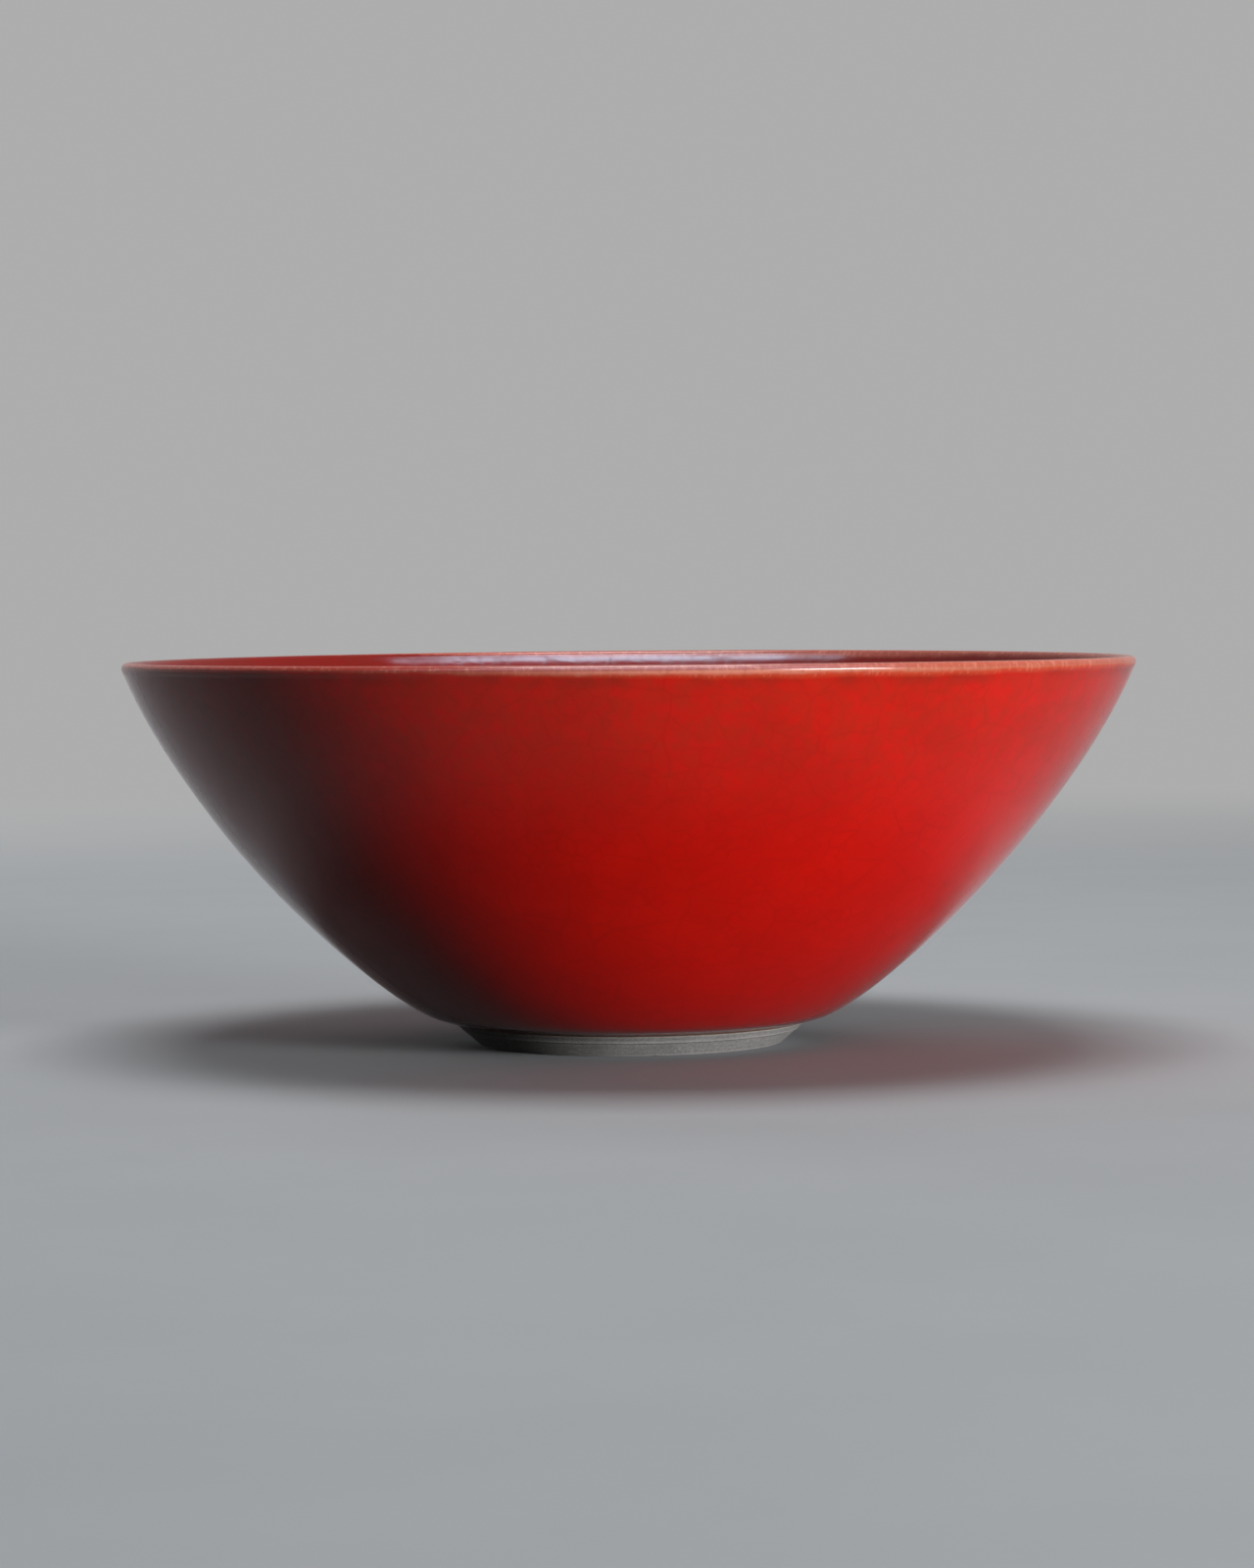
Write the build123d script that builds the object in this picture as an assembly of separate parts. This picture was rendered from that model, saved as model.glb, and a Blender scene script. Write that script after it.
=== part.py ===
from build123d import *
import math
import os

# A wheel-thrown bowl on a turned foot ring, with a coat outside, a coat inside and a thin coat
# over the lip. Everything is a half section turned about the upright axis.
# The origin is on the axis, in the plane of the foot's contact face. Millimetres and degrees.

# Lip and overall size
rim_radius = 90.0            # widest radius, at the lip
bowl_height = 68.6           # table to the crest of the lip
lip_thickness = 2.0          # across the rounded lip, coat included
lip_lean = 67.5              # lean of the wall under the lip, up from level
lip_band_run = 0.65          # straight part of the lip's band, on each face of the wall
lip_coat_thickness = 0.3     # where the coat has run thin
lip_stretches = 4            # equal stretches of curve that make up the lip's rounding

# Outside of the wall
shoulder_lean = 5.0          # lean of the wall where it leaves the foot, up from level
shoulder_radius = 14.1       # of the turn from there into the flare
flare_lean = 29.5            # lean of the wall where its flare starts
flare_run_share = 0.21       # pull of the flare's lean on the wall's curve, of its chord
wall_run_share = 0.31        # pull of the lip's lean on the wall's curve, of its chord
outer_coat_thickness = 0.45  # at the foot, where the coat is thickest

# Inside of the wall and the floor
floor_thickness = 4.8        # at the axis, coat included
floor_radius = 27.0          # level part of the floor
floor_run_share = 0.23       # pull of the level floor on the inner curve, of its chord
inner_run_share = 0.18       # pull of the lip's lean on the inner curve, of its chord
inner_coat_thickness = 0.45  # on the floor, where the coat has pooled

# Foot ring
foot_contact_radius = 26.8   # outer edge of the contact face
foot_ring_width = 3.0        # across the contact face
foot_height = 4.2            # table to the lower edge of the outer coat
foot_lean = 41.0             # lean of the ring's outer face, up from level
foot_inner_lean = 75.0       # lean of the ring's inner face, up from level
foot_edge_radius = 0.6       # worn outer edge of the contact face
foot_inner_edge_radius = 0.5
foot_corner = 0.8            # chamfer where the ring's inner face meets the well

# Groove between the foot ring and the body, and the turned line on the ring
seam_drop = 0.42             # lower edge of the coat to the middle of the groove
groove_width = 0.36
groove_depth = 0.22
ridge_drop = 1.2             # middle of the groove to the turned line
ridge_width = 0.36
ridge_height = 0.1

# Well under the floor
well_rise = 0.6              # how far the well's ceiling domes up from the ring to the axis

seam_height = foot_height - seam_drop
well_height = seam_height + well_rise
floor_height = well_height + floor_thickness
lip_radius = lip_thickness / 2
lip_centre = Vector(rim_radius - lip_radius, 0, bowl_height - lip_radius)


def at(radius, height):
    """A point of the half section."""
    return Vector(radius, 0, height)


def lean_direction(lean):
    """The way up and outwards along a face that leans this far up from level."""
    angle = math.radians(lean)
    return Vector(math.cos(angle), 0, math.sin(angle))


def outward(lean):
    """The way out of a face on the bowl's outside that leans this far up from level."""
    angle = math.radians(lean)
    return Vector(math.sin(angle), 0, -math.cos(angle))


def rounding(centre, radius, lean, turn):
    """A round stretch of a face, from where it has one lean to where it has turned further."""
    start = centre + outward(lean) * radius
    end = centre + outward(lean + turn) * radius
    reach = radius * math.tan(math.radians(turn / 4)) * 4 / 3
    leaving = start + lean_direction(lean) * reach
    arriving = end - lean_direction(lean + turn) * reach
    return Edge.make_bezier(start, leaving, arriving, end)


def curve_between(start, start_lean, start_share, end, end_share):
    """A curve that leaves its start at one lean and reaches its end at the lip's lean."""
    chord = (end - start).length
    leaving = start + lean_direction(start_lean) * (start_share * chord)
    arriving = end - lean_direction(lip_lean) * (end_share * chord)
    return Edge.make_bezier(start, leaving, arriving, end)


def turned(edges, name):
    """The named solid that a closed half section makes when it turns about the axis."""
    solid = revolve(Face(Wire(edges)), Axis.Z)
    solid.label = name
    return solid


def ring_edge(contact_radius, edge_radius, lean, side):
    """The rounded edge of the contact face: a point half way round it, and its upper end.

    side is 1 on the ring's outer face and -1 on its inner face.
    """
    centre = at(contact_radius, edge_radius)
    down = math.radians(90)
    end_angle = math.radians(lean) - down
    half_angle = (end_angle - down) / 2
    half = centre + Vector(side * math.cos(half_angle), 0, math.sin(half_angle)) * edge_radius
    end = centre + Vector(side * math.cos(end_angle), 0, math.sin(end_angle)) * edge_radius
    return half, end


def bevel_radius(height):
    """Radius of the foot's outer face at a height."""
    _, edge_end = ring_edge(foot_contact_radius, foot_edge_radius, foot_lean, 1)
    return edge_end.X + (height - edge_end.Z) / math.tan(math.radians(foot_lean))


def well_radius(height):
    """Radius of the ring's inner face at a height."""
    _, edge_end = ring_edge(
        foot_contact_radius - foot_ring_width, foot_inner_edge_radius, foot_inner_lean, -1
    )
    return edge_end.X - (height - edge_end.Z) / math.tan(math.radians(foot_inner_lean))


well_edge = at(well_radius(seam_height - foot_corner) - foot_corner, seam_height)
seam_edge = at(bevel_radius(seam_height) - groove_depth, seam_height)
coat_edge = at(bevel_radius(foot_height), foot_height)
shoulder_centre = coat_edge - outward(shoulder_lean) * shoulder_radius


def outer_curves(foot_inset, lip_inset):
    """The outside from the foot to the lip's band, inset from the finished face.

    A round shoulder turns out of the foot, and the wall flares from it to the lip.
    """
    turn = flare_lean - shoulder_lean
    shoulder = rounding(shoulder_centre, shoulder_radius - foot_inset, shoulder_lean, turn)
    end = band_end(lip_radius - lip_inset)
    wall = curve_between(shoulder @ 1, flare_lean, flare_run_share, end, wall_run_share)
    return shoulder, wall


def inner_curve(floor_inset, lip_inset):
    """The inside of the wall from the level floor to the lip's band, inset the same way."""
    start = at(floor_radius, floor_height - floor_inset)
    end = band_end(lip_inset - lip_radius)
    return curve_between(start, 0, floor_run_share, end, inner_run_share)


def lip_side(offset):
    """Where the lip's rounding meets the wall, this far out from the lip's centre."""
    return lip_centre + outward(lip_lean) * offset


def band_end(offset):
    """The lower end of the lip's band, this far out from the line through the lip's centre."""
    return lip_side(offset) - lean_direction(lip_lean) * lip_band_run


def lip_outline(radius):
    """Up the band on the outside, over the crest of the lip and down the band on the inside."""
    turn = 180 / lip_stretches
    return [
        Edge.make_line(band_end(radius), lip_side(radius)),
        *[rounding(lip_centre, radius, lip_lean + turn * step, turn) for step in range(lip_stretches)],
        Edge.make_line(lip_side(-radius), band_end(-radius)),
    ]


def make_clay_body():
    """The wall and floor under the coats, with the well below and half of the foot's groove."""
    shoulder, wall = outer_curves(outer_coat_thickness, lip_coat_thickness)
    inside = inner_curve(inner_coat_thickness, lip_coat_thickness)
    ceiling = at(0, well_height)
    floor = at(0, floor_height - inner_coat_thickness)
    groove_top = seam_height + groove_width / 2
    groove_end = at(bevel_radius(groove_top), groove_top)
    return turned(
        [
            Edge.make_bezier(ceiling, at(well_edge.X / 2, well_height), well_edge),
            Edge.make_line(well_edge, seam_edge),
            Edge.make_line(seam_edge, groove_end),
            Edge.make_line(groove_end, coat_edge),
            Edge.make_line(coat_edge, shoulder @ 0),
            shoulder,
            wall,
            *lip_outline(lip_radius - lip_coat_thickness),
            inside,
            Edge.make_line(inside @ 0, floor),
            Edge.make_line(floor, ceiling),
        ],
        "clay_body",
    )


def make_foot_ring():
    """The turned ring: contact face, worn edges, leaning faces, turned line and groove."""
    inner_contact = at(foot_contact_radius - foot_ring_width, 0)
    outer_contact = at(foot_contact_radius, 0)
    outer_half, outer_end = ring_edge(foot_contact_radius, foot_edge_radius, foot_lean, 1)
    inner_half, inner_end = ring_edge(
        inner_contact.X, foot_inner_edge_radius, foot_inner_lean, -1
    )
    ridge = seam_height - ridge_drop
    ridge_foot = ridge - ridge_width / 2
    ridge_top = ridge + ridge_width / 2
    groove_foot = seam_height - groove_width / 2
    outer_face = Polyline(
        outer_end,
        at(bevel_radius(ridge_foot), ridge_foot),
        at(bevel_radius(ridge), ridge) + outward(foot_lean) * ridge_height,
        at(bevel_radius(ridge_top), ridge_top),
        at(bevel_radius(groove_foot), groove_foot),
        seam_edge,
    )
    inner_face = Polyline(
        well_edge,
        at(well_radius(seam_height - foot_corner), seam_height - foot_corner),
        inner_end,
    )
    return turned(
        [
            Edge.make_line(inner_contact, outer_contact),
            Edge.make_three_point_arc(outer_contact, outer_half, outer_end),
            *outer_face.edges(),
            Edge.make_line(seam_edge, well_edge),
            *inner_face.edges(),
            Edge.make_three_point_arc(inner_end, inner_half, inner_contact),
        ],
        "foot_ring",
    )


def make_outer_coat():
    """The coat on the outside of the wall, from the foot to the lip's band."""
    shoulder, wall = outer_curves(0, 0)
    bedded_shoulder, bedded_wall = outer_curves(outer_coat_thickness, lip_coat_thickness)
    return turned(
        [
            shoulder,
            wall,
            Edge.make_line(wall @ 1, bedded_wall @ 1),
            bedded_wall,
            bedded_shoulder,
            Edge.make_line(bedded_shoulder @ 0, shoulder @ 0),
        ],
        "outer_coat",
    )


def make_inner_coat():
    """The coat on the inside of the wall and on the floor."""
    finished = inner_curve(0, 0)
    bedded = inner_curve(inner_coat_thickness, lip_coat_thickness)
    floor_top = at(0, floor_height)
    floor_bed = at(0, floor_height - inner_coat_thickness)
    return turned(
        [
            Edge.make_line(floor_top, finished @ 0),
            finished,
            Edge.make_line(finished @ 1, bedded @ 1),
            bedded,
            Edge.make_line(bedded @ 0, floor_bed),
            Edge.make_line(floor_bed, floor_top),
        ],
        "inner_coat",
    )


def make_lip_coat():
    """The thin coat that wraps the lip."""
    clay_radius = lip_radius - lip_coat_thickness
    return turned(
        [
            *lip_outline(lip_radius),
            Edge.make_line(band_end(-lip_radius), band_end(-clay_radius)),
            *lip_outline(clay_radius),
            Edge.make_line(band_end(clay_radius), band_end(lip_radius)),
        ],
        "lip_coat",
    )


pieces = [
    make_clay_body(),
    make_foot_ring(),
    make_outer_coat(),
    make_inner_coat(),
    make_lip_coat(),
]

os.makedirs("parts", exist_ok=True)
for piece in pieces:
    export_step(piece, f"parts/{piece.label}.step")
    print(piece.label, round(piece.volume), "cubic mm")
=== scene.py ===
import math

import bpy
from mathutils import Matrix, Vector, noise


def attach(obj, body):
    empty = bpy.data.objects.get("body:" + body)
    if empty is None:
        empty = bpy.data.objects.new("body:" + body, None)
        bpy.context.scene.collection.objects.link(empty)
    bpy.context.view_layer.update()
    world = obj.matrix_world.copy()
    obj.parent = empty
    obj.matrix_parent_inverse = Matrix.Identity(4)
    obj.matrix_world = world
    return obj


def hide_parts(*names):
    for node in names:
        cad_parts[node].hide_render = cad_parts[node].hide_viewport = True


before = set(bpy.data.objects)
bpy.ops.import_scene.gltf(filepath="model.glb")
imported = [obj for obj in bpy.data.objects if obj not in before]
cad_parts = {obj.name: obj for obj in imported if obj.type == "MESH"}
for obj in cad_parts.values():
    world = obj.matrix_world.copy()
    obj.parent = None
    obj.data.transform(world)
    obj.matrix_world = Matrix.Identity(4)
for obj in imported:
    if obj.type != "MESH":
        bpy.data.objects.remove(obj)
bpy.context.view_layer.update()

MM = 0.001             # a millimetre in the scene's metres

# The bowl's sizes, in millimetres and degrees. A lean is up from level.
RIM_RADIUS = 90.0
BOWL_HEIGHT = 68.6
LIP_THICKNESS = 2.0
LIP_LEAN = 67.5
LIP_BAND_RUN = 0.65               # straight part of the lip's band, on each face of the wall
LIP_COAT = 0.3

SHOULDER_LEAN = 5.0               # of the wall where it leaves the foot
SHOULDER_RADIUS = 14.1
FLARE_LEAN = 29.5                 # of the wall where its flare starts
FLARE_RUN_SHARE = 0.21            # pulls of the two leans on the wall's curve, of its chord
WALL_RUN_SHARE = 0.31
WALL_COAT = 0.45

FLOOR_THICKNESS = 4.8
FLOOR_RADIUS = 27.0               # level part of the floor
FLOOR_RUN_SHARE = 0.23            # pulls of the floor and the lip on the inner curve, of its chord
INNER_RUN_SHARE = 0.18

FOOT_CONTACT_RADIUS = 26.8
FOOT_RING_WIDTH = 3.0
FOOT_HEIGHT = 4.2                 # to the lower edge of the outer coat
FOOT_LEAN = 41.0
FOOT_INNER_LEAN = 75.0
FOOT_EDGE_RADIUS = 0.6
FOOT_INNER_EDGE_RADIUS = 0.5
FOOT_CORNER = 0.8                 # chamfer where the ring's inner face meets the well
SEAM_DROP = 0.42                  # lower edge of the coat to the middle of the groove
GROOVE_WIDTH = 0.36
GROOVE_DEPTH = 0.22
RIDGE_DROP = 1.2                  # middle of the groove to the turned line
RIDGE_WIDTH = 0.36
RIDGE_HEIGHT = 0.1
WELL_RISE = 0.6                   # how far the well's ceiling domes up from the ring

LIP_RADIUS = LIP_THICKNESS / 2
SEAM_HEIGHT = FOOT_HEIGHT - SEAM_DROP
RIDGE_MIDDLE = SEAM_HEIGHT - RIDGE_DROP
WELL_HEIGHT = SEAM_HEIGHT + WELL_RISE
FLOOR_HEIGHT = WELL_HEIGHT + FLOOR_THICKNESS

# Divisions of the meshes
WALL_TURNS = 480                  # round the axis on the wall
FINE_TURNS = 720                  # round the axis on the lip and the foot ring
WALL_STEPS = 150                  # up the face of the wall
COAT_EDGE_STEPS = 6               # in the first of those, at the outer coat's lower edge
WALL_TO_SHOULDER = 5              # steps up the wall for each one round the shoulder
BED_STEPS = 60                    # up the hidden face between a coat and the clay
FLOOR_STEPS = 48
LIP_STEPS = 24
LIP_BED_STEPS = 12
CEILING_STEPS = 60
BARE_GROOVE_STEPS = 6
BARE_BAND_STEPS = 5
FOOT_STEPS = {"contact": 12, "edge": 8, "bevel": 64, "groove": 6, "chamfer": 6, "inner_face": 20,
              "inner_edge": 6}
ON_AXIS = 1e-6                    # a point nearer the axis than this is a single vertex
SHARP_ANGLE = 35                  # a corner sharper than this stays sharp


# Half sections
def at(radius, height):
    return Vector((radius, height))


def lean_direction(lean):
    """The way up and outwards along a face that leans this far up from level."""
    angle = math.radians(lean)
    return Vector((math.cos(angle), math.sin(angle)))


def outward(lean):
    """The way out of a face on the bowl's outside that leans this far up from level."""
    angle = math.radians(lean)
    return Vector((math.sin(angle), -math.cos(angle)))


LIP_CENTRE = at(RIM_RADIUS - LIP_RADIUS, BOWL_HEIGHT - LIP_RADIUS)


def line(start, end, steps):
    return [start.lerp(end, k / steps) for k in range(steps + 1)]


def cubic(p0, p1, p2, p3, steps):
    """A cubic Bezier curve as a row of points."""
    out = []
    for k in range(steps + 1):
        t = k / steps
        s = 1 - t
        out.append(p0 * s**3 + p1 * (3 * s * s * t) + p2 * (3 * s * t * t) + p3 * t**3)
    return out


def rounding(centre, radius, lean, turn, steps):
    """A round stretch of a face, from where it has one lean to where it has turned further."""
    return [centre + outward(lean + turn * k / steps) * radius for k in range(steps + 1)]


def curve_between(start, start_lean, start_share, end, end_share, steps):
    """A curve that leaves its start at one lean and reaches its end at the lip's lean."""
    chord = (end - start).length
    leaving = start + lean_direction(start_lean) * (start_share * chord)
    arriving = end - lean_direction(LIP_LEAN) * (end_share * chord)
    return cubic(start, leaving, arriving, end, steps)


def band_end(offset):
    """The lower end of the lip's band, this far out from the line through the lip's centre."""
    return LIP_CENTRE + outward(LIP_LEAN) * offset - lean_direction(LIP_LEAN) * LIP_BAND_RUN


def edge_arc(contact_radius, radius, lean, side, steps):
    """The worn edge of the contact face, from the face up to the ring's side."""
    centre = at(contact_radius, radius)
    first, last = math.radians(-90), math.radians(lean - 90)
    out = []
    for k in range(steps + 1):
        a = first + (last - first) * k / steps
        out.append(centre + Vector((side * math.cos(a), math.sin(a))) * radius)
    return out


def bevel_radius(height):
    """Radius of the foot's outer face at a height."""
    end = edge_arc(FOOT_CONTACT_RADIUS, FOOT_EDGE_RADIUS, FOOT_LEAN, 1, 1)[-1]
    return end.x + (height - end.y) / math.tan(math.radians(FOOT_LEAN))


def well_radius(height):
    """Radius of the ring's inner face at a height."""
    inner = FOOT_CONTACT_RADIUS - FOOT_RING_WIDTH
    end = edge_arc(inner, FOOT_INNER_EDGE_RADIUS, FOOT_INNER_LEAN, -1, 1)[-1]
    return end.x - (height - end.y) / math.tan(math.radians(FOOT_INNER_LEAN))


WELL_EDGE = at(well_radius(SEAM_HEIGHT - FOOT_CORNER) - FOOT_CORNER, SEAM_HEIGHT)
SEAM_EDGE = at(bevel_radius(SEAM_HEIGHT) - GROOVE_DEPTH, SEAM_HEIGHT)
COAT_EDGE = at(bevel_radius(FOOT_HEIGHT), FOOT_HEIGHT)
SHOULDER_CENTRE = COAT_EDGE - outward(SHOULDER_LEAN) * SHOULDER_RADIUS


def outer_curve(foot_inset, lip_inset, steps):
    """The outside from the foot to the lip's band, inset from the finished face."""
    turn = FLARE_LEAN - SHOULDER_LEAN
    radius = SHOULDER_RADIUS - foot_inset
    shoulder = rounding(SHOULDER_CENTRE, radius, SHOULDER_LEAN, turn, steps // WALL_TO_SHOULDER)
    end = band_end(LIP_RADIUS - lip_inset)
    wall = curve_between(shoulder[-1], FLARE_LEAN, FLARE_RUN_SHARE, end, WALL_RUN_SHARE, steps)
    return shoulder + wall[1:]


def inner_curve(floor_inset, lip_inset, steps):
    """The inside of the wall from the level floor to the lip's band, inset the same way."""
    start = at(FLOOR_RADIUS, FLOOR_HEIGHT - floor_inset)
    end = band_end(lip_inset - LIP_RADIUS)
    return curve_between(start, 0, FLOOR_RUN_SHARE, end, INNER_RUN_SHARE, steps)


def lip_outline(radius, steps):
    """Up the band outside, over the crest and down the band inside."""
    crest = rounding(LIP_CENTRE, radius, LIP_LEAN, 180, steps)
    return [band_end(radius)] + crest + [band_end(-radius)]


# What a hand and a wheel leave, in millimetres.
# A noise round the axis is how fast it changes there, and a seed.
LEFT_BELLY = 0.45                 # how far the wall stands out in the middle of its left side
BELLY_UP = 0.40                   # where it stands out most, of the bowl's height
BELLY_REACH = 0.22                # and how far that reaches up and down
BELLY_FADE = 0.1                  # share of the height in which it comes in above the foot
LEFT_TUCK = 0.30                  # how far the lip is drawn in on its left side
TUCK_POWER = 4                    # how suddenly that comes in towards the lip
SADDLE = 0.13                     # half of how far the lip's sides lie below its front and back
SADDLE_POWER = 3                  # how suddenly that comes in towards the lip
UNEVEN_FROM = 6.0                 # height from which the wall is uneven
DRAWN_IN = 0.05                   # how far the lip is drawn in all round
DRAWN_IN_WANDER = 0.04            # and how much more in places
DRAWN_IN_NOISE = (1.2, 3.1)
LIP_WAVE = 0.02                   # slow and quick rises and falls of the lip
LIP_WAVE_NOISE = (1.4, 7.7)
LIP_QUIVER = 0.015
LIP_QUIVER_NOISE = (11.0, 9.3)

SWELL_HEIGHT = 0.035              # broad swellings of a coat's face
SWELL_LENGTH = 16.0
SWELL_RATE = 2.2
THROWN_RING_HEIGHT = 0.012        # throwing rings in a coat's face
THROWN_RING_LENGTH = 4.0
THROWN_RING_RATE = 0.9
OUTER_SEED = 20.0
INNER_SEED = 60.0
LIP_FADE = 4.0                    # length over which they fade out under the lip
FOOT_FADE = 2.0                   # and over the foot

BEAD_HEIGHT = 0.09                # thick bead of coat over its lower edge
BEAD_UP = 0.9
BEAD_WIDTH = 0.7
BEAD_WANDER = 0.6                 # how much its height comes and goes, as a share
BEAD_NOISE = (14.0, 31.0)
RUN_LENGTH = 0.6                  # the stretch of coat that has run down over the foot
RUN_DOWN = 0.07                   # how far it has run
RUN_WANDER = 0.09
RUN_NOISE = (5.0, 41.0)
DRIP_WANDER = 0.05
DRIP_NOISE = (30.0, 43.0)

SPIRAL_HEIGHT = 0.05              # spiral that the fingers left on the floor
SPIRAL_PITCH = 7.0
SPIRAL_START = 3.0                # length over which it comes in from the axis
SPIRAL_END = 34.0                 # and where it has faded out

WELL_LINE_HEIGHT = 0.045          # turning lines in the well's ceiling
WELL_LINE_PITCH = 1.7
WELL_LINE_START = 1.2             # radius over which they come in from the axis
WELL_LINE_WANDER = 0.4            # how much their height comes and goes, as a share
WELL_LINE_RATE = 2.0              # how fast that changes round the axis
WELL_LINE_SPREAD = 3.0            # and how slowly it changes away from it
WELL_SET_DOWN = 0.03              # how far the ceiling is set down for them

FOOT_LINE_HEIGHT = 0.022          # turning lines on the foot's outer face
FOOT_LINE_RATE = 0.7
FOOT_LINE_RISE = 3.4              # how fast they change with height
FOOT_GRIT_HEIGHT = 0.010          # grit that the tool dragged
FOOT_GRIT_RATE = 90.0
FOOT_GRIT_RISE = 4.0
BEVEL_FADE_FOOT = 0.5             # heights over which both fade out at the face's two edges
BEVEL_FADE_TOP = 0.15
RIDGE_HALF_SHARE = 0.42           # half width of the turned line, of its width
RIDGE_WANDER = 0.2                # how much its height comes and goes, as a share
RIDGE_NOISE = (3.0, 51.0)
NICK_DEPTH = 0.16                 # deepest nick in the worn edge
NICK_FROM = 0.46                  # value of the noise from which there is one
NICK_REACH = 0.35
NICK_NOISE = (17.0, 55.0)


def ring_noise(angle, rate, seed):
    """Noise that closes round the axis, from -1 to 1."""
    return noise.noise(Vector((math.cos(angle) * rate, math.sin(angle) * rate, seed)))


def bell(value, middle, reach):
    """A smooth hump that is 1 in its middle."""
    return math.exp(-(((value - middle) / reach) ** 2))


def throwing(angle, point):
    """The whole pot's slight unevenness, growing up the wall; never outwards or up at the lip."""
    up = max(0.0, (point.y - UNEVEN_FROM) / (BOWL_HEIGHT - UNEVEN_FROM))
    drawn_in = DRAWN_IN + DRAWN_IN_WANDER * (1 + ring_noise(angle, *DRAWN_IN_NOISE)) / 2
    left = max(0.0, -math.cos(angle))
    belly = LEFT_BELLY * left * left * bell(up, BELLY_UP, BELLY_REACH) * min(1.0, up / BELLY_FADE)
    tuck = LEFT_TUCK * left * up**TUCK_POWER
    sink = SADDLE * (1 + math.cos(2 * angle))
    sink += LIP_WAVE * (1 + ring_noise(angle, *LIP_WAVE_NOISE))
    sink += LIP_QUIVER * (1 + ring_noise(angle, *LIP_QUIVER_NOISE))
    return Vector((belly - tuck - drawn_in * up, -sink * up**SADDLE_POWER))


def coat_relief(angle, along, seed):
    """Faint swellings and throwing rings in a coat's face."""
    swell = ring_noise(angle, SWELL_RATE, along / SWELL_LENGTH + seed)
    ring = ring_noise(angle, THROWN_RING_RATE, along / THROWN_RING_LENGTH + seed)
    return SWELL_HEIGHT * swell + THROWN_RING_HEIGHT * ring


# Meshes turned about the axis
def lathe(name, section, turns, shift):
    """A closed mesh of a half section of (radius, height) points, each moved by shift."""
    verts, faces, rings = [], [], []
    for i, point in enumerate(section):
        if point.x < ON_AXIS:
            rings.append([len(verts)])
            verts.append((0.0, 0.0, point.y * MM))
            continue
        ring = []
        for k in range(turns):
            angle = 2 * math.pi * k / turns
            moved = point + shift(angle, point, i)
            ring.append(len(verts))
            verts.append((moved.x * math.cos(angle) * MM, moved.x * math.sin(angle) * MM, moved.y * MM))
        rings.append(ring)
    for low, high in zip(rings, rings[1:] + rings[:1]):
        if len(low) == 1 and len(high) == 1:
            continue
        for k in range(turns):
            n = (k + 1) % turns
            if len(low) == 1:
                faces.append((low[0], high[n], high[k]))
            elif len(high) == 1:
                faces.append((low[k], low[n], high[0]))
            else:
                faces.append((low[k], low[n], high[n], high[k]))
    mesh = bpy.data.meshes.new(name)
    mesh.from_pydata(verts, [], faces)
    mesh.update()
    mesh.shade_smooth()
    mesh.set_sharp_from_angle(angle=math.radians(SHARP_ANGLE))
    obj = bpy.data.objects.new(name, mesh)
    bpy.context.scene.collection.objects.link(obj)
    return obj


def lengths_along(section):
    """The length from a section's start to each of its points."""
    out = [0.0]
    for a, b in zip(section[:-1], section[1:]):
        out.append(out[-1] + (b - a).length)
    return out


def normals_of(section):
    """The way out of an open section whose outside is on its right."""
    out = []
    for i in range(len(section)):
        a = section[max(i - 1, 0)]
        b = section[min(i + 1, len(section) - 1)]
        run = (b - a).normalized()
        out.append(Vector((run.y, -run.x)))
    return out


def make_outer_coat():
    finished = outer_curve(0, 0, WALL_STEPS)
    finished = line(finished[0], finished[1], COAT_EDGE_STEPS)[:-1] + finished[1:]
    bed = outer_curve(WALL_COAT, LIP_COAT, BED_STEPS)
    along = lengths_along(finished)
    normals = normals_of(finished)

    def shift(angle, point, i):
        move = throwing(angle, point)
        if i >= len(finished):
            return move
        s = along[i]
        fade = min(1.0, (along[-1] - s) / LIP_FADE) * min(1.0, s / FOOT_FADE)
        move += normals[i] * (coat_relief(angle, s, OUTER_SEED) * fade)
        bead = BEAD_HEIGHT * (1 + BEAD_WANDER * ring_noise(angle, *BEAD_NOISE))
        move += normals[i] * (bead * bell(s, BEAD_UP, BEAD_WIDTH))
        if s < RUN_LENGTH:
            run = RUN_DOWN + RUN_WANDER * ring_noise(angle, *RUN_NOISE)
            run += DRIP_WANDER * ring_noise(angle, *DRIP_NOISE)
            move -= lean_direction(FOOT_LEAN) * (max(0.0, run) * (1 - s / RUN_LENGTH))
        return move

    return lathe("outer_glaze", finished + bed[::-1], WALL_TURNS, shift)


def make_inner_coat():
    floor = line(at(0, FLOOR_HEIGHT), at(FLOOR_RADIUS, FLOOR_HEIGHT), FLOOR_STEPS)
    finished = floor + inner_curve(0, 0, WALL_STEPS)[1:]
    bed = [at(0, FLOOR_HEIGHT - WALL_COAT)] + inner_curve(WALL_COAT, LIP_COAT, BED_STEPS)
    along = lengths_along(finished)
    normals = normals_of(finished)

    def shift(angle, point, i):
        """The section runs down the finished face first, so its lengths are read from the end."""
        move = throwing(angle, point)
        if i >= len(finished):
            return move
        up = len(finished) - 1 - i
        s = along[up]
        relief = coat_relief(angle, s, INNER_SEED)
        spiral = SPIRAL_HEIGHT * math.sin(2 * math.pi * s / SPIRAL_PITCH - angle)
        spiral *= max(0.0, 1 - s / SPIRAL_END) * min(1.0, s / SPIRAL_START)
        fade = min(1.0, (along[-1] - s) / LIP_FADE)
        return move - normals[up] * ((relief + spiral) * fade)

    return lathe("inner_glaze", finished[::-1] + bed, WALL_TURNS, shift)


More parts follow.
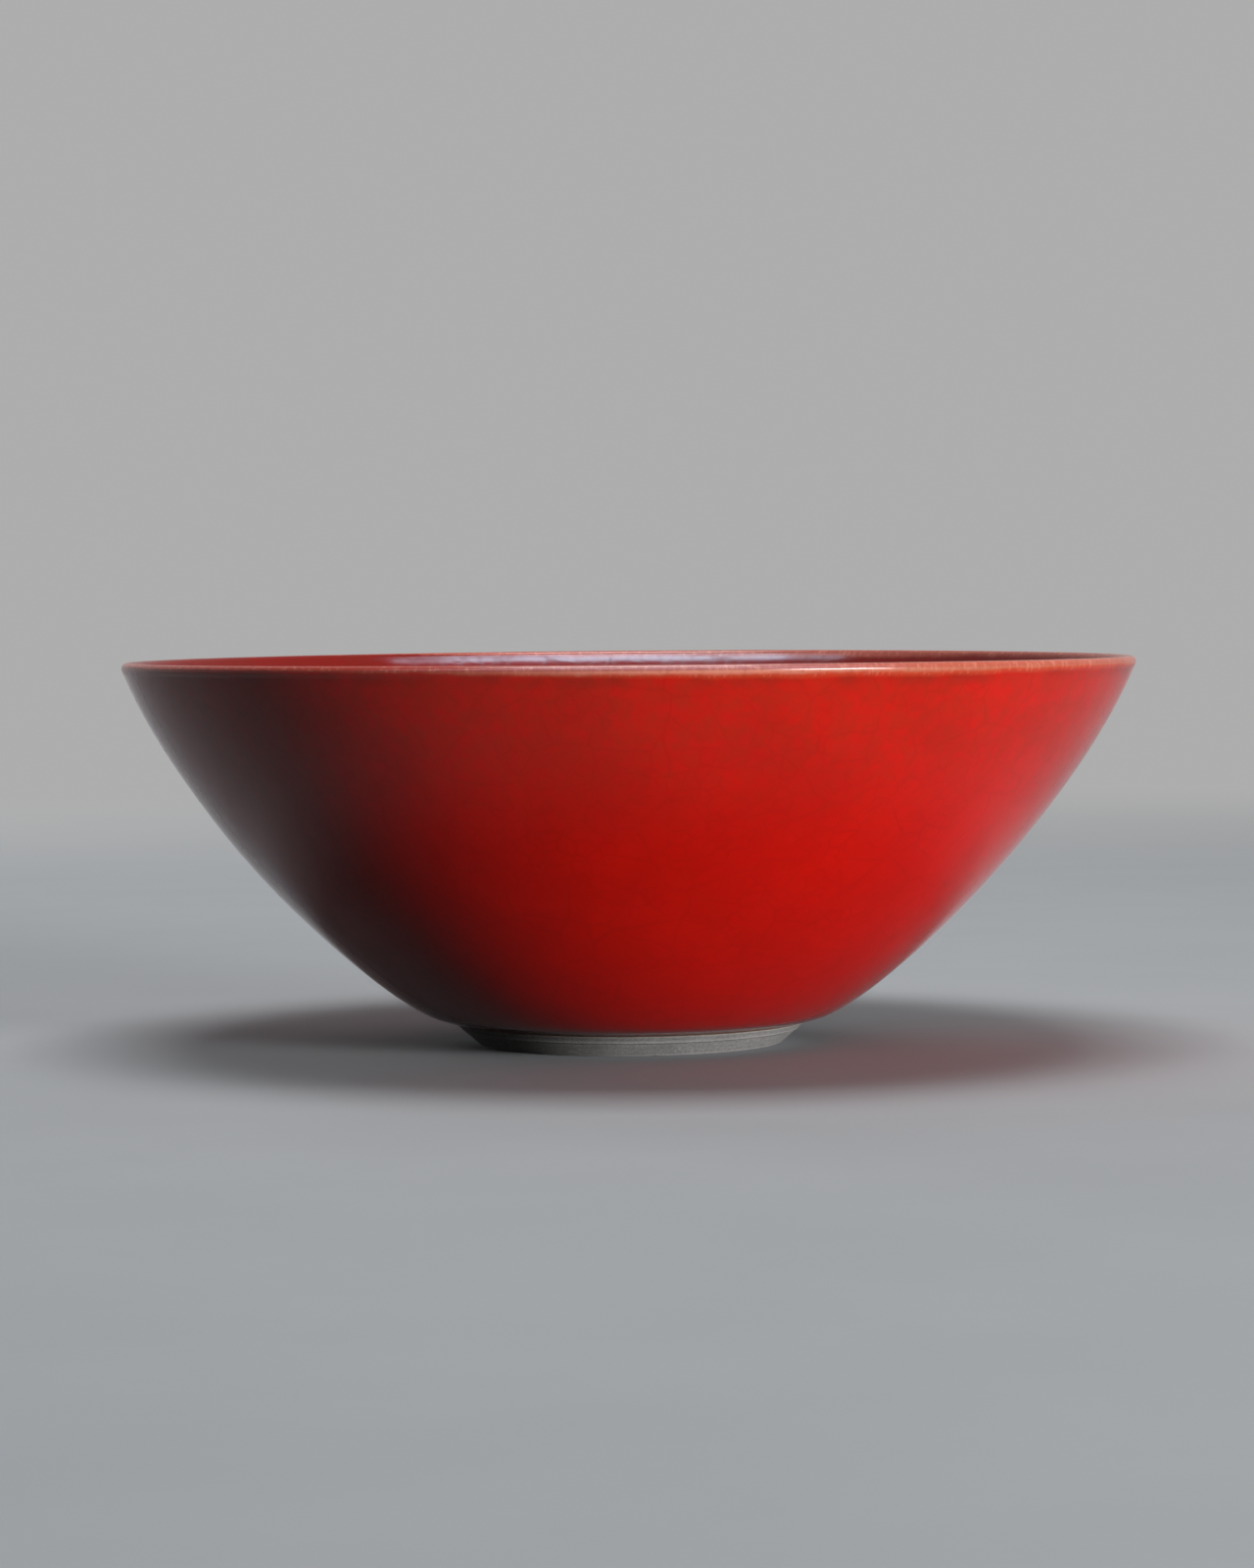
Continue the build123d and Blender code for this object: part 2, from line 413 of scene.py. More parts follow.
def make_lip_coat():
    outside = lip_outline(LIP_RADIUS, LIP_STEPS)
    inside = lip_outline(LIP_RADIUS - LIP_COAT, LIP_BED_STEPS)

    def shift(angle, point, i):
        return throwing(angle, point)

    return lathe("lip_glaze", outside + inside[::-1], FINE_TURNS, shift)


def make_clay_body():
    ceiling = []
    for k in range(CEILING_STEPS + 1):
        t = k / CEILING_STEPS
        ceiling.append(at(WELL_EDGE.x * t, WELL_HEIGHT + (SEAM_HEIGHT - WELL_HEIGHT) * t * t))
    groove_height = SEAM_HEIGHT + GROOVE_WIDTH / 2
    groove_top = at(bevel_radius(groove_height), groove_height)
    bare = line(SEAM_EDGE, groove_top, BARE_GROOVE_STEPS) + line(groove_top, COAT_EDGE, BARE_BAND_STEPS)[1:]
    outside = outer_curve(WALL_COAT, LIP_COAT, BED_STEPS)
    lip = lip_outline(LIP_RADIUS - LIP_COAT, LIP_BED_STEPS)[1:-1]
    inside = inner_curve(WALL_COAT, LIP_COAT, BED_STEPS)[::-1]
    section = ceiling + bare + outside + lip + inside + [at(0, FLOOR_HEIGHT - WALL_COAT)]

    def shift(angle, point, i):
        move = throwing(angle, point)
        if i < len(ceiling) - 1:
            r = point.x
            turning = math.sin(2 * math.pi * r / WELL_LINE_PITCH - angle)
            wander = ring_noise(angle, WELL_LINE_RATE, r / WELL_LINE_SPREAD)
            turning *= 1 - WELL_LINE_WANDER + WELL_LINE_WANDER * wander
            move.y += WELL_LINE_HEIGHT * turning * min(1.0, r / WELL_LINE_START) - WELL_SET_DOWN
        return move

    return lathe("clay_wall", section, WALL_TURNS, shift)


def make_foot_ring():
    inner_contact = FOOT_CONTACT_RADIUS - FOOT_RING_WIDTH
    contact = line(at(inner_contact, 0), at(FOOT_CONTACT_RADIUS, 0), FOOT_STEPS["contact"])
    edge = edge_arc(FOOT_CONTACT_RADIUS, FOOT_EDGE_RADIUS, FOOT_LEAN, 1, FOOT_STEPS["edge"])
    groove_foot = SEAM_HEIGHT - GROOVE_WIDTH / 2
    top = at(bevel_radius(groove_foot), groove_foot)
    bevel = line(edge[-1], top, FOOT_STEPS["bevel"])[1:]
    groove = line(top, SEAM_EDGE, FOOT_STEPS["groove"])[1:]
    inner_edge = edge_arc(
        inner_contact, FOOT_INNER_EDGE_RADIUS, FOOT_INNER_LEAN, -1, FOOT_STEPS["inner_edge"]
    )[::-1]
    corner = at(well_radius(SEAM_HEIGHT - FOOT_CORNER), SEAM_HEIGHT - FOOT_CORNER)
    inner = line(WELL_EDGE, corner, FOOT_STEPS["chamfer"])
    inner += line(corner, inner_edge[0], FOOT_STEPS["inner_face"])[1:]
    section = contact[:-1] + edge + bevel + groove + inner + inner_edge[1:-1]
    first = len(contact) - 1
    last = first + len(edge) + len(bevel)
    way = outward(FOOT_LEAN)

    def shift(angle, point, i):
        move = Vector((0, 0))
        if first < i < last:
            height = point.y
            lines = ring_noise(angle, FOOT_LINE_RATE, height * FOOT_LINE_RISE)
            grit = ring_noise(angle, FOOT_GRIT_RATE, height * FOOT_GRIT_RISE)
            fade = min(1.0, height / BEVEL_FADE_FOOT) * min(1.0, (groove_foot - height) / BEVEL_FADE_TOP)
            move += way * ((FOOT_LINE_HEIGHT * lines + FOOT_GRIT_HEIGHT * grit) * fade)
            ridge = RIDGE_HEIGHT * bell(height, RIDGE_MIDDLE, RIDGE_WIDTH * RIDGE_HALF_SHARE)
            move += way * (ridge * (1 - RIDGE_WANDER + RIDGE_WANDER * ring_noise(angle, *RIDGE_NOISE)))
            nick = max(0.0, ring_noise(angle, *NICK_NOISE) - NICK_FROM) * bell(height, 0, NICK_REACH)
            move -= way * min(NICK_DEPTH, nick)
        return move

    return lathe("foot_clay", section, FINE_TURNS, shift)


# Materials
class Tree:
    """Short names for the nodes that a material or the world uses."""

    def __init__(self, owner):
        self.owner = owner
        owner.use_nodes = True
        self.nodes = owner.node_tree.nodes
        self.links = owner.node_tree.links
        self.nodes.clear()

    def add(self, kind, inputs=(), **settings):
        made = self.nodes.new(kind)
        for key, value in settings.items():
            setattr(made, key, value)
        for key, value in dict(inputs).items():
            self.put(made.inputs[key], value)
        return made

    def put(self, socket, value):
        """Links a socket, or sets the value or the colour that it holds."""
        if isinstance(value, bpy.types.NodeSocket):
            self.links.new(value, socket)
        elif socket.type == "RGBA":
            socket.default_value = (*value, 1.0)
        else:
            socket.default_value = value

    def math(self, operation, a, b=None):
        made = self.add("ShaderNodeMath", operation=operation)
        self.put(made.inputs[0], a)
        if b is not None:
            self.put(made.inputs[1], b)
        return made.outputs[0]

    def plus(self, a, b):
        return self.math("ADD", a, b)

    def minus(self, a, b):
        return self.math("SUBTRACT", a, b)

    def times(self, a, b):
        return self.math("MULTIPLY", a, b)

    def vector(self, operation, a, b=None, scale=None):
        made = self.add("ShaderNodeVectorMath", {0: a}, operation=operation)
        if b is not None:
            self.put(made.inputs[1], b)
        if scale is not None:
            self.put(made.inputs["Scale"], scale)
        return made.outputs[0]

    def fade(self, value, start, end, at_start=0.0, at_end=1.0):
        """Smoothly from one share, where the value is at its start, to the other at its end."""
        return self.add("ShaderNodeMapRange", {
            "Value": value, "From Min": start, "From Max": end, "To Min": at_start, "To Max": at_end,
        }, interpolation_type="SMOOTHSTEP").outputs["Result"]

    def mix(self, share, a, b):
        """The first colour, with this share of the second over it."""
        made = self.add("ShaderNodeMix", data_type="RGBA")
        self.put(made.inputs["Factor"], share)
        self.put(made.inputs[6], a)
        self.put(made.inputs[7], b)
        return made.outputs[2]

    def noise(self, vector, size, detail, roughness, output="Fac"):
        return self.add("ShaderNodeTexNoise", {
            "Vector": vector, "Scale": 1 / size, "Detail": detail, "Roughness": roughness,
        }).outputs[output]

    def cells(self, vector, size, feature="F1"):
        """Cells of about this size: with F1, how far their middles are and a colour for each."""
        return self.add("ShaderNodeTexVoronoi", {"Vector": vector, "Scale": 1 / size}, feature=feature)

    def channel(self, colour, index):
        return self.add("ShaderNodeSeparateColor", {"Color": colour}).outputs[index]

    def bump(self, height, distance, strength, normal=None):
        made = self.add("ShaderNodeBump", {"Height": height, "Distance": distance, "Strength": strength})
        if normal is not None:
            self.put(made.inputs["Normal"], normal)
        return made.outputs[0]

    def finish(self, colour, roughness, normal, **settings):
        """The surface's shader, with what is the same all over it set on its own sockets."""
        shader = self.add("ShaderNodeBsdfPrincipled", {
            "Base Color": colour, "Roughness": roughness, "Normal": normal,
        })
        for key, value in settings.items():
            shader.inputs[key.replace("_", " ")].default_value = value
        self.show(shader, "ShaderNodeOutputMaterial")
        return self.owner

    def show(self, shader, kind):
        self.links.new(shader.outputs[0], self.add(kind).inputs["Surface"])


class Place:
    """Where a point of the surface lies, in metres, and which way the surface faces there."""

    def __init__(self, t):
        self.point = t.add("ShaderNodeTexCoord").outputs["Object"]
        apart = t.add("ShaderNodeSeparateXYZ", {"Vector": self.point})
        self.x, self.y, self.height = (apart.outputs[k] for k in ("X", "Y", "Z"))
        self.radius = t.math("SQRT", t.plus(t.times(self.x, self.x), t.times(self.y, self.y)))
        normal = t.add("ShaderNodeTexCoord").outputs["Normal"]
        self.normal = t.add("ShaderNodeSeparateXYZ", {"Vector": normal})
        self.facing_up = self.normal.outputs["Z"]


def below_crest(depth):
    """The height, in metres, of what lies this many millimetres below the lip's crest."""
    return (BOWL_HEIGHT - depth) * MM


# In the values below, a fade is a start and an end, and the shares there where they aren't 0 and 1.
# A noise is the size of its patches, its detail and its roughness. A bump is a height and a strength.
# side runs from -1 at the bowl's left to 1 at its right, as the camera sees it.
IOR = 1.45

# Craze lines and the shards between them
CRAZE_BEND = (4.0 * MM, 2.0, 0.55)
CRAZE_BEND_REACH = 1.6 * MM
FINE_CELL = 3.2 * MM
WIDE_CELL = 9.5 * MM
CRAZE_PATCH = (11.0 * MM, 3.0, 0.6)
FINE_LINE = (0.0, 0.13, 1.0, 0.0)
FINE_IN_PATCH = (0.40, 0.66, 0.10, 0.80)
WIDE_LINE = (0.0, 0.045, 1.0, 0.0)
WIDE_IN_PATCH = (0.62, 0.36, 0.25, 0.80)
CRACKLE_BROWN = (0.12, 0.0060, 0.0035)
CRACKLE_OUTSIDE = 0.15
CRACKLE_INSIDE_MORE = 0.42
CRACKLE_ON_LIP = 0.20

# The red melt
RED = (0.62, 0.0045, 0.0014)
RED_OLIVE = (0.40, 0.0185, 0.0050)
RED_DEEP = (0.30, 0.0030, 0.0012)
RED_INSIDE = (0.25, 0.0050, 0.0022)
# Painted shade: a darker red high on the inside of the wall
PAINTED_SHADE_RED = (0.085, 0.0022, 0.0012)
BURNT_RED = (0.24, 0.0160, 0.0060)
CLOUD = (17.0 * MM, 3.0, 0.55)
PATCH = (2.7 * MM, 4.0, 0.65)
PATCH_SHARE = 0.8
CLOUD_SHARE = 0.2
OLIVE_IN_MOTTLE = (0.70, 0.36, 0.20, 0.72)
OLIVE_BY_HEIGHT = (36.0 * MM, 62.0 * MM, 0.15, 1.0)
DEEP_IN_CLOUD = (0.60, 0.38, 0.0, 0.14)
DEEP_IN_SHARD = 0.08
DEEP_LOW_DOWN = (28.0 * MM, 6.0 * MM, 0.0, 0.28)
INSIDE_BY_NORMAL = (0.0, 0.35)
INSIDE_SHARE = 0.85
# Where the painted shade lies, high on the inside
INSIDE_PAINTED_SHADE_HEIGHTS = (48.0 * MM, 64.0 * MM, 0.0, 0.62)
BURNT_BY_HEIGHT = (below_crest(4.6), below_crest(2.4))
BURNT_IN_PATCH = (0.40, 0.60, 0.10, 0.60)

# Pinholes
SPECK_PINK = (0.62, 0.16, 0.12)
SPECK_SPACING = 12.0 * MM
SPECK_EDGE = (0.010, 0.026, 1.0, 0.0)
SPECK_CHOSEN = 0.66
SPECK_SHARE = 0.45

# The lip
LIP_ORANGE = (0.50, 0.048, 0.014)
LIP_SALMON = (0.45, 0.125, 0.070)
# Partly the thin coat's own pale tone, partly a painted sheen on the lip's front and left
LIP_SHEEN_AND_PALE = (0.64, 0.22, 0.150)
LIP_CREST = (0.31, 0.092, 0.086)
LIP_CREST_WARM = (0.38, 0.080, 0.048)
LIP_ROSE = (0.31, 0.078, 0.058)
# Partly a redder coat, partly painted shade on the near lip's shaded left
LIP_DEEP_RED_AND_SHADE = (0.33, 0.021, 0.007)
# Pale flecks, partly painted glints
LIP_GLINT_AND_FLECK = (0.58, 0.24, 0.165)
LIP_BROWN = (0.24, 0.045, 0.020)
LIP_EDGE = (5.0 * MM, 3.0, 0.6)
LIP_EDGE_WANDER = 0.9 * MM
FLECK_STRETCH = (1.0, 1.0, 0.35)
FLECK = (0.80 * MM, 3.0, 0.6)
FLECK_WANDER = 0.5 * MM
DROP_INSIDE = (LIP_CENTRE.x * MM, (LIP_CENTRE.x - 0.8) * MM, 0.0, 0.8 * MM)
DROP_AT_LEFT = (0.0, -0.75, 0.0, 0.9 * MM)
DROP_AT_RIGHT = (0.60, 0.80, 0.0, 0.3 * MM)
# Painted sheen: the lip is paler from its right towards its front and left
SHEEN_AND_PALE_BY_SIDE = (0.75, 0.10)
ORANGE_TO_PALE = (below_crest(1.9), below_crest(1.2))
CREST_WARM_AT_RIGHT = (0.25, 0.60)
CREST_BY_NORMAL = (-0.20, 0.35)
ROSE_BY_FACING = (0.10, -0.45)
# Painted shade, with a redder coat, on the near lip's left
FRONT_SHADE_AND_RED = (20.0 * MM, -30.0 * MM, 0.35, 1.0)
LEFT_SHADE_AND_RED = (0.10, -0.55, 0.0, 0.88)
BROWN_FLECK = (0.52, 0.74, 0.0, 0.35)
# Pale flecks on the lip, partly painted glints
GLINT_AND_FLECK_FROM = 0.50
GLINT_AND_FLECK_TO = 0.30
GLINT_AND_FLECK_BY_SIDE = (-0.20, -0.60, 0.40, 0.28)
LIP_STARTS_AT = (0.30, -0.50, below_crest(2.7), below_crest(1.9))
LIP_WHOLE_AT = below_crest(1.6)

# The coat's lower edge
EDGE_BROWN = (0.22, 0.085, 0.050)
EDGE_BY_RADIUS = (32.35 * MM, 31.95 * MM)
EDGE_BY_HEIGHT = ((FOOT_HEIGHT + 1.8) * MM, (FOOT_HEIGHT + 0.8) * MM)

# The coat's gloss and relief
DULL_CLOUD = 0.05
DULL_LINES = 0.10
PEEL = (2.6 * MM, 2.0, 0.5)
PEEL_BUMP = (0.008 * MM, 0.5)
CRAZE_BUMP = (-0.020 * MM, 0.30)
SPECK_BUMP = (-0.08 * MM, 0.8)
GLOSS_OUTSIDE = 0.25
GLOSS_INSIDE = 0.42
GLOSS_LIP = 0.42
DULLNESS_OUTSIDE = 0.055
DULLNESS_INSIDE = 0.085
DULLNESS_LIP = 0.14


def crackle(t, point):
    """Fine and wide craze lines that come and go, and a tone for each shard between them."""
    bend = t.noise(point, *CRAZE_BEND, output="Color")
    bend = t.vector("SCALE", t.vector("SUBTRACT", bend, (0.5, 0.5, 0.5)), scale=CRAZE_BEND_REACH)
    bent = t.vector("ADD", point, bend)
    fine = t.cells(bent, FINE_CELL, "DISTANCE_TO_EDGE").outputs["Distance"]
    wide = t.cells(bent, WIDE_CELL, "DISTANCE_TO_EDGE").outputs["Distance"]
    come_and_go = t.noise(point, *CRAZE_PATCH)
    fine_line = t.times(t.fade(fine, *FINE_LINE), t.fade(come_and_go, *FINE_IN_PATCH))
    wide_line = t.times(t.fade(wide, *WIDE_LINE), t.fade(come_and_go, *WIDE_IN_PATCH))
    shard = t.channel(t.cells(bent, FINE_CELL).outputs["Color"], 0)
    return t.math("MAXIMUM", fine_line, wide_line), shard, come_and_go


def red_melt(t, place, cloud, shard, inside):
    """A little cloudy, with olive mottles high up, deeper low down and on the inside."""
    mottle = t.plus(t.times(t.noise(place.point, *PATCH), PATCH_SHARE), t.times(cloud, CLOUD_SHARE))
    high = t.fade(place.height, *OLIVE_BY_HEIGHT)
    colour = t.mix(t.times(t.fade(mottle, *OLIVE_IN_MOTTLE), high), RED, RED_OLIVE)
    colour = t.mix(t.fade(cloud, *DEEP_IN_CLOUD), colour, RED_DEEP)
    colour = t.mix(t.times(shard, DEEP_IN_SHARD), colour, RED_DEEP)
    colour = t.mix(t.fade(place.height, *DEEP_LOW_DOWN), colour, RED_DEEP)
    return t.mix(t.times(inside, INSIDE_SHARE), colour, RED_INSIDE)


def pinholes(t, point):
    """Here and there a small round pit."""
    holes = t.cells(point, SPECK_SPACING)
    chosen = t.math("GREATER_THAN", t.channel(holes.outputs["Color"], 1), SPECK_CHOSEN)
    return t.times(t.fade(holes.outputs["Distance"], *SPECK_EDGE), chosen)


def height_at_lip(t, place, side, fleck):
    """Height with a wandering edge, lowered where the lip's pale band is narrower."""
    wander = t.times(t.minus(t.noise(place.point, *LIP_EDGE), 0.5), LIP_EDGE_WANDER)
    wander = t.plus(wander, t.times(t.minus(fleck, 0.5), FLECK_WANDER))
    up = t.minus(t.plus(place.height, wander), t.fade(place.radius, *DROP_INSIDE))
    up = t.minus(up, t.fade(side, *DROP_AT_LEFT))
    return t.minus(up, t.fade(side, *DROP_AT_RIGHT))


def thin_lip(t, place, side, up, fleck, lines):
    """Where the coat has run thin: palest in front, partly a painted sheen, orange below and reddest on the
    left, partly painted shade; its pale flecks are partly painted glints.
    """
    outward_x = t.times(place.normal.outputs["X"], place.x)
    outward_y = t.times(place.normal.outputs["Y"], place.y)
    facing_out = t.math("DIVIDE", t.plus(outward_x, outward_y), place.radius)
    # Partly thin coat, partly painted sheen: paler from the lip's right towards its front and left
    colour = t.mix(t.fade(side, *SHEEN_AND_PALE_BY_SIDE), LIP_SALMON, LIP_SHEEN_AND_PALE)
    colour = t.mix(t.fade(up, *ORANGE_TO_PALE), LIP_ORANGE, colour)
    crest = t.mix(t.fade(side, *CREST_WARM_AT_RIGHT), LIP_CREST, LIP_CREST_WARM)
    colour = t.mix(t.fade(place.facing_up, *CREST_BY_NORMAL), colour, crest)
    colour = t.mix(t.fade(facing_out, *ROSE_BY_FACING), colour, LIP_ROSE)
    in_front = t.fade(place.y, *FRONT_SHADE_AND_RED)
    # Partly a redder coat, partly painted shade on the near lip's left
    colour = t.mix(t.times(t.fade(side, *LEFT_SHADE_AND_RED), in_front), colour, LIP_DEEP_RED_AND_SHADE)
    colour = t.mix(t.fade(fleck, *BROWN_FLECK), colour, LIP_BROWN)
    # Pale flecks, partly painted glints
    pale = t.fade(side, *GLINT_AND_FLECK_BY_SIDE)
    colour = t.mix(t.fade(fleck, GLINT_AND_FLECK_FROM, GLINT_AND_FLECK_TO, 0.0, pale), colour, LIP_GLINT_AND_FLECK)
    return t.mix(t.times(lines, CRACKLE_ON_LIP), colour, LIP_BROWN)


def glaze(name, gloss, dullness):
    """The red coat with its crackle, pinholes, pale lip, painted shade high on the inside and brown lower
    edge.
    """
    t = Tree(bpy.data.materials.new(name))
    place = Place(t)
    lines, shard, come_and_go = crackle(t, place.point)
    cloud = t.noise(place.point, *CLOUD)
    inside = t.fade(place.facing_up, *INSIDE_BY_NORMAL)
    speck = pinholes(t, place.point)
    side = t.math("DIVIDE", place.x, place.radius)
    fleck = t.noise(t.vector("MULTIPLY", place.point, FLECK_STRETCH), *FLECK)
    up = height_at_lip(t, place, side, fleck)

    colour = red_melt(t, place, cloud, shard, inside)
    crackle_share = t.plus(CRACKLE_OUTSIDE, t.times(inside, CRACKLE_INSIDE_MORE))
    colour = t.mix(t.times(lines, crackle_share), colour, CRACKLE_BROWN)
    colour = t.mix(t.times(speck, SPECK_SHARE), colour, SPECK_PINK)
    burnt = t.times(t.fade(up, *BURNT_BY_HEIGHT), t.fade(come_and_go, *BURNT_IN_PATCH))
    colour = t.mix(burnt, colour, BURNT_RED)
    # Painted shade: darker red high on the inside of the wall
    colour = t.mix(t.times(inside, t.fade(place.height, *INSIDE_PAINTED_SHADE_HEIGHTS)), colour, PAINTED_SHADE_RED)
    lip_share = t.fade(up, t.fade(side, *LIP_STARTS_AT), LIP_WHOLE_AT)
    colour = t.mix(lip_share, colour, thin_lip(t, place, side, up, fleck, lines))
    by_foot = t.times(t.fade(place.radius, *EDGE_BY_RADIUS), t.fade(place.height, *EDGE_BY_HEIGHT))
    colour = t.mix(by_foot, colour, EDGE_BROWN)

    roughness = t.plus(t.plus(dullness, t.times(cloud, DULL_CLOUD)), t.times(lines, DULL_LINES))
    normal = t.bump(t.noise(place.point, *PEEL), *PEEL_BUMP)
    normal = t.bump(lines, *CRAZE_BUMP, normal)
    normal = t.bump(speck, *SPECK_BUMP, normal)
    return t.finish(colour, roughness, normal, IOR=IOR, Specular_IOR_Level=gloss)


# Bare clay
CLAY = (0.28, 0.27, 0.26)
CLAY_PALE = (0.34, 0.33, 0.32)
CLAY_GRAIN = (0.16, 0.15, 0.145)
CLAY_TURNED = (0.40, 0.39, 0.38)
# Partly wear, partly a painted highlight along the foot's bottom edge
CLAY_HIGHLIGHT_AND_WEAR = (0.48, 0.46, 0.45)
GRIT_DARK = (0.12, 0.105, 0.095)
GRIT_PALE = (0.52, 0.50, 0.48)
GROOVE_BROWN = (0.20, 0.145, 0.115)
STAIN_BROWN = (0.30, 0.125, 0.075)
CLAY_CLOUD = (9.0 * MM, 3.0, 0.6)
PALE_IN_CLOUD = (0.35, 0.65)
GRAIN = (0.55 * MM, 4.0, 0.8)
GRAIN_SHARE = (0.38, 0.62, 0.0, 0.65)
TURNED = (0.5 * MM, 2.0, 0.5)
TURNED_SHARE = (0.40, 0.66, 0.0, 0.30)
GRIT_CELL = 0.7 * MM
DARK_GRIT_EDGE = (0.12, 0.30, 1.0, 0.0)
DARK_GRIT_CHOSEN = 0.90
DARK_GRIT_SHARE = 0.35
PALE_GRIT_EDGE = (0.16, 0.34, 1.0, 0.0)
PALE_GRIT_CHOSEN = 0.10
PALE_GRIT_SHARE = 0.6
# Where the lighter bottom edge lies: partly wear, partly a painted highlight
HIGHLIGHT_AND_WEAR_HEIGHTS = (0.50 * MM, 0.12 * MM)
HIGHLIGHT_AND_WEAR_RADII = ((FOOT_CONTACT_RADIUS - 0.7) * MM, FOOT_CONTACT_RADIUS * MM)
HIGHLIGHT_AND_WEAR_SHARE = 0.65
GROOVE_BY_HEIGHT = ((SEAM_HEIGHT - 0.22) * MM, (SEAM_HEIGHT - 0.10) * MM)
GROOVE_BY_RADIUS = (30.2 * MM, 30.7 * MM)
GROOVE_SHARE = 0.6
STAIN_BY_HEIGHT = ((SEAM_HEIGHT + 0.10) * MM, (SEAM_HEIGHT + 0.24) * MM)
STAIN_BY_RADIUS = (30.7 * MM, 31.2 * MM)
STAIN_SHARE = 0.85
CLAY_DULLNESS = 0.68
DULL_GRAIN = 0.25
GRAIN_BUMP = (0.06 * MM, 0.5)
TURNED_BUMP = (0.05 * MM, 0.6)
GRIT_BUMP = (-0.08 * MM, 0.6)
CLAY_GLOSS = 0.3


def bare_clay(name):
    """Fine grey clay with grain, grit and turning lines, lighter at the bottom edge, partly wear and partly
    a painted highlight, and stained by the coat.
    """
    t = Tree(bpy.data.materials.new(name))
    place = Place(t)
    section = t.add("ShaderNodeCombineXYZ", {"X": place.radius, "Y": place.height}).outputs[0]
    grain = t.noise(place.point, *GRAIN)
    turned = t.noise(section, *TURNED)
    grit = t.cells(place.point, GRIT_CELL)
    picked = t.channel(grit.outputs["Color"], 0)
    from_middle = grit.outputs["Distance"]
    dark_grit = t.times(t.fade(from_middle, *DARK_GRIT_EDGE),
                        t.math("GREATER_THAN", picked, DARK_GRIT_CHOSEN))
    pale_grit = t.times(t.fade(from_middle, *PALE_GRIT_EDGE),
                        t.math("LESS_THAN", picked, PALE_GRIT_CHOSEN))

    def patch(by_height, by_radius, share):
        there = t.times(t.fade(place.height, *by_height), t.fade(place.radius, *by_radius))
        return t.times(there, share)

    colour = t.mix(t.fade(t.noise(place.point, *CLAY_CLOUD), *PALE_IN_CLOUD), CLAY, CLAY_PALE)
    for share, tone in (
        (t.fade(grain, *GRAIN_SHARE), CLAY_GRAIN),
        (t.fade(turned, *TURNED_SHARE), CLAY_TURNED),
        (t.times(dark_grit, DARK_GRIT_SHARE), GRIT_DARK),
        (t.times(pale_grit, PALE_GRIT_SHARE), GRIT_PALE),
        # lighter bottom edge: partly wear, partly a painted highlight
        (patch(HIGHLIGHT_AND_WEAR_HEIGHTS, HIGHLIGHT_AND_WEAR_RADII, HIGHLIGHT_AND_WEAR_SHARE), CLAY_HIGHLIGHT_AND_WEAR),
        (patch(GROOVE_BY_HEIGHT, GROOVE_BY_RADIUS, GROOVE_SHARE), GROOVE_BROWN),
        (patch(STAIN_BY_HEIGHT, STAIN_BY_RADIUS, STAIN_SHARE), STAIN_BROWN),
    ):
        colour = t.mix(share, colour, tone)

    roughness = t.plus(CLAY_DULLNESS, t.times(grain, DULL_GRAIN))
    normal = t.bump(grain, *GRAIN_BUMP)
    normal = t.bump(turned, *TURNED_BUMP, normal)
    normal = t.bump(dark_grit, *GRIT_BUMP, normal)
    return t.finish(colour, roughness, normal, IOR=IOR, Specular_IOR_Level=CLAY_GLOSS)


outer = make_outer_coat()
inner = make_inner_coat()
lip = make_lip_coat()
clay = make_clay_body()
foot = make_foot_ring()

outer_finish = glaze("red_crackle_glaze_outside", GLOSS_OUTSIDE, DULLNESS_OUTSIDE)
inner_finish = glaze("red_crackle_glaze_inside", GLOSS_INSIDE, DULLNESS_INSIDE)
lip_finish = glaze("thin_lip_glaze", GLOSS_LIP, DULLNESS_LIP)
clay_finish = bare_clay("bare_grey_clay")

for piece, node, slot, finish in (
    (outer, "outer_coat", "red_coat", outer_finish),
    (inner, "inner_coat", "red_coat", inner_finish),
    (lip, "lip_coat", "pale_lip_coat", lip_finish),
    (clay, "clay_body", "bare_clay", clay_finish),
    (foot, "foot_ring", "bare_clay", clay_finish),
):
    piece.data.materials.append(finish)
    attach(piece, "root")
    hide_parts(node)


# Floor and studio, in metres
BACKGROUND = 0.42                 # the pale world, as the camera and the gloss see it
WORLD_LIGHT = 0.09                # the light that it sheds
FAR_FLOOR_LIGHT = 0.04            # the light that the far floor sheds
WHITE = (1, 1, 1)
FLOOR_PALE = (0.272, 0.284, 0.296)
FLOOR_PALER = (0.280, 0.292, 0.304)
FLOOR_BOUNCE = (0.015, 0.015, 0.015)
FLOOR_RADII = (0.2, 0.45, 0.8, 1.4, 2.6, 5.0)
FLOOR_TURNS = 64
FLOOR_DROP = 0.02 * MM            # how far it lies under the foot
FLOOR_INTO_WORLD = (0.42, 1.05)
FLOOR_CLOUD = (0.05, 4.0, 0.6)
PALER_IN_CLOUD = (0.3, 0.7)


def camera_or_mirror(t):
    """Whether the camera sees this, by itself or in something's gloss."""
    path = t.add("ShaderNodeLightPath")
    seen = t.math("MAXIMUM", path.outputs["Is Camera Ray"], path.outputs["Is Glossy Ray"])
    return t.math("MAXIMUM", seen, path.outputs["Is Transmission Ray"])


